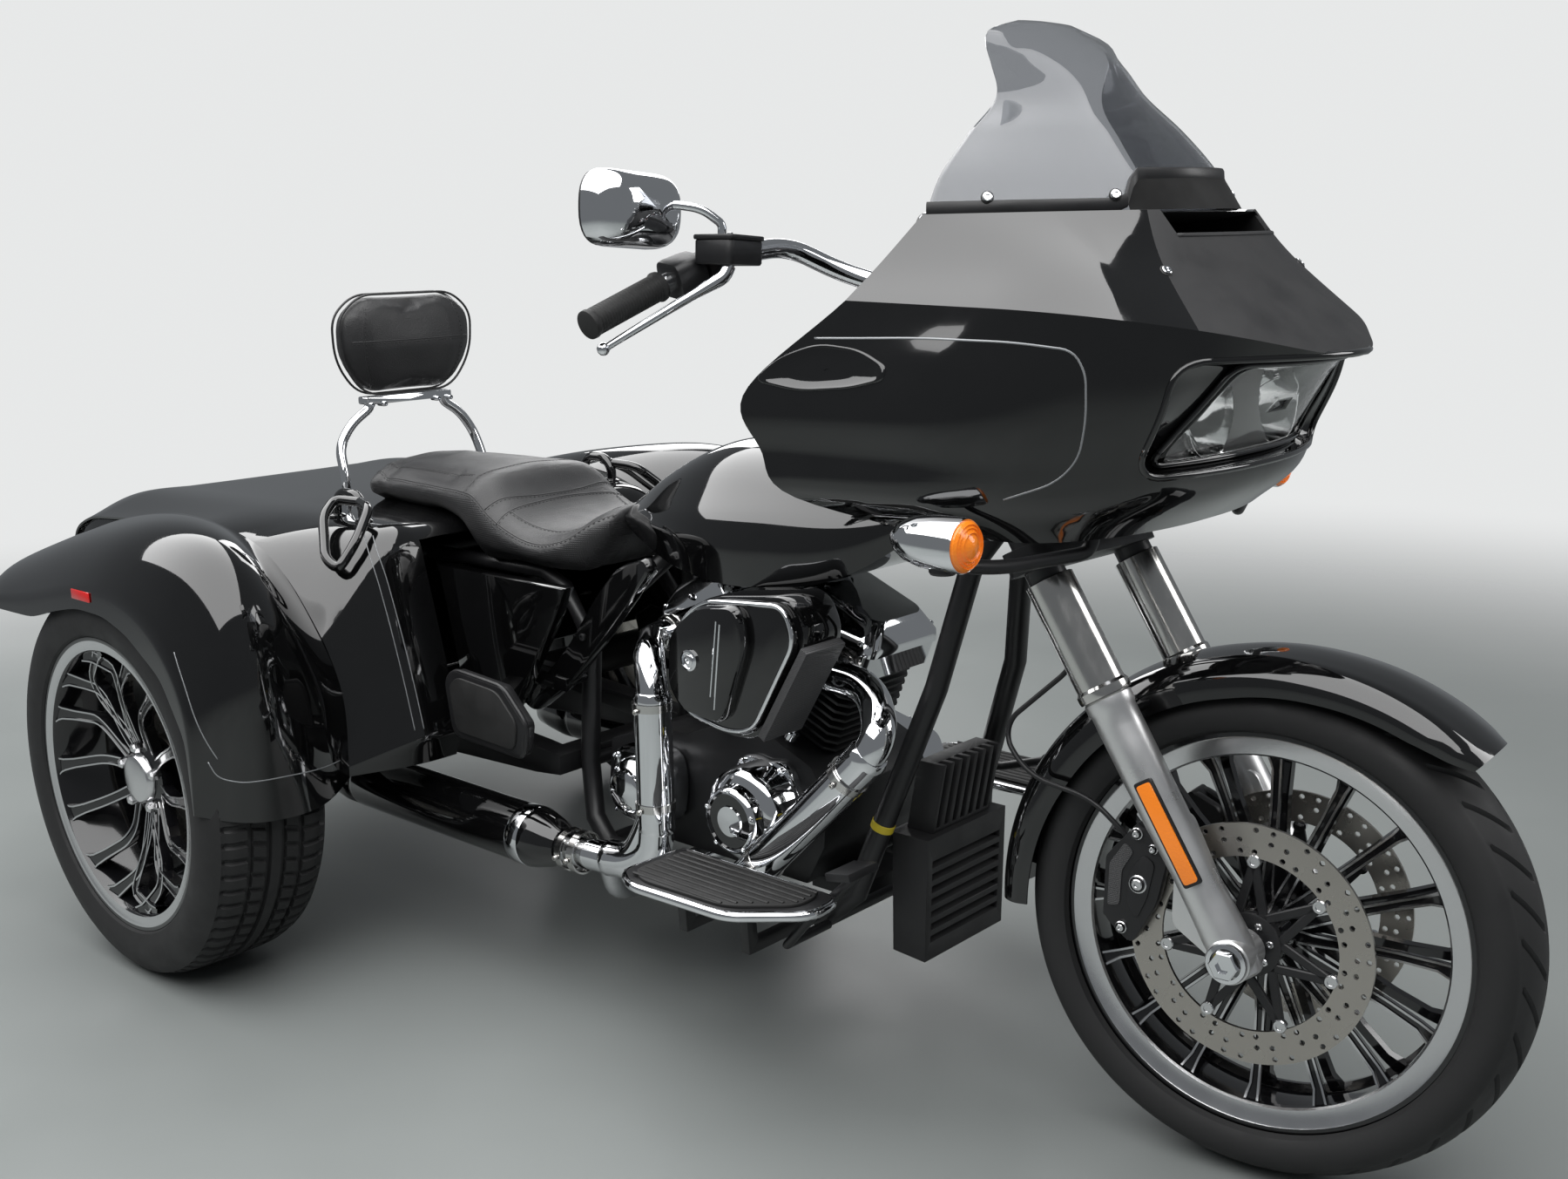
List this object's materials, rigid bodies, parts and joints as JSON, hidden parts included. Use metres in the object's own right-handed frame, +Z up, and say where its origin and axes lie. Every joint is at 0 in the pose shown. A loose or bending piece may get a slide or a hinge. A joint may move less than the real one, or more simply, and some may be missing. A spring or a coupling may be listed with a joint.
{
  "type": "motorized trike (three-wheeled touring motorcycle)",
  "caption": "Black three-wheeled touring motorcycle with a frame-mounted fairing, smoked windshield, V-twin engine, two-up seat with backrest and a trunk between wide rear fenders.",
  "frame": {"origin": "on the ground under the middle of the machine's box", "axes": "+X forward, towards the front wheel; +Y to the rider's left; +Z up"},
  "size_m": [2.6673, 1.394, 1.426],
  "materials": {
    "gloss_black": "gloss",
    "satin_black": "satin",
    "engine_black": "satin",
    "chrome": "polished",
    "stainless": "brushed",
    "cast_alloy": "satin",
    "wheel_black": "gloss",
    "disc_steel": "brushed",
    "tyre_rubber": "matte",
    "grip_rubber": "matte",
    "seat_leather": "satin",
    "matte_black": "matte",
    "smoke_screen": "gloss",
    "clear_lens": "gloss",
    "reflector": "polished",
    "amber_lens": "gloss",
    "red_lens": "gloss"
  },
  "bodies": {
    "root": {"frame": "satin_black", "swingarm": "satin_black", "rear_axle": "satin_black", "rear_shocks": "satin_black", "crankcase": "engine_black", "cylinders": "engine_black", "rocker_boxes": "chrome", "pushrod_tubes": "chrome", "cam_cover": "chrome", "transmission_cover": "chrome", "primary_cover": "chrome", "air_cleaner": "chrome", "air_filter": "matte_black", "exhaust_headers": "chrome", "mufflers": "chrome", "fuel_tank": "gloss_black", "seat": "seat_leather", "backrest_pad": "seat_leather", "backrest_frame": "chrome", "grab_handles": "satin_black", "side_covers": "gloss_black", "trunk_body": "gloss_black", "rear_right_fender": "gloss_black", "rear_left_fender": "gloss_black", "rear_lamps": "red_lens", "fairing_outer": "gloss_black", "fairing_nose": "matte_black", "inner_fairing": "matte_black", "windshield": "smoke_screen", "headlamp_lens": "clear_lens", "headlamp_housing": "reflector", "oil_cooler_cover": "matte_black", "voltage_regulator": "satin_black", "floorboards": "grip_rubber", "passenger_boards": "satin_black", "foot_controls": "satin_black", "turn_signals": "amber_lens", "plate_bracket": "satin_black"},
    "steering": {"triple_clamps": "satin_black", "fork_covers": "stainless", "fork_sliders": "cast_alloy", "front_fender": "gloss_black", "front_axle": "chrome", "brake_calipers": "satin_black", "handlebar": "chrome", "hand_controls": "satin_black", "grips": "grip_rubber", "levers": "chrome", "mirrors": "chrome", "brake_line": "grip_rubber"},
    "front_wheel": {"front_tyre": "tyre_rubber", "front_rim": "wheel_black", "front_discs": "disc_steel"},
    "rear_right_wheel": {"rear_right_tyre": "tyre_rubber", "rear_right_rim": "wheel_black", "rear_right_disc": "disc_steel"},
    "rear_left_wheel": {"rear_left_tyre": "tyre_rubber", "rear_left_rim": "wheel_black", "rear_left_disc": "disc_steel"},
    "trunk_lid": {"trunk_lid": "gloss_black"}
  },
  "joints": [
    {"name": "steering", "type": "hinge", "parent": "root", "child": "steering", "pos_m": [0.97237, 0, 0.29682], "axis": [-0.4384, 0, 0.8988], "range_deg": [-40.5, 23.5]},
    {"name": "front_wheel_spin", "type": "hinge", "parent": "steering", "child": "front_wheel", "pos_m": [1.01681, 0.00739, 0.3185], "axis": [-0.1329, 0.989, -0.0648], "continuous": true},
    {"name": "rear_right_wheel_spin", "type": "hinge", "parent": "root", "child": "rear_right_wheel", "pos_m": [-0.65269, -0.581, 0.325], "axis": [0, 1, 0], "continuous": true},
    {"name": "rear_left_wheel_spin", "type": "hinge", "parent": "root", "child": "rear_left_wheel", "pos_m": [-0.65269, 0.581, 0.325], "axis": [0, 1, 0], "continuous": true},
    {"name": "trunk_lid_hinge", "type": "hinge", "parent": "root", "child": "trunk_lid", "pos_m": [-1.30699, 0, 0.452], "axis": [0, -1, 0], "range_deg": [0, 90]}
  ]
}
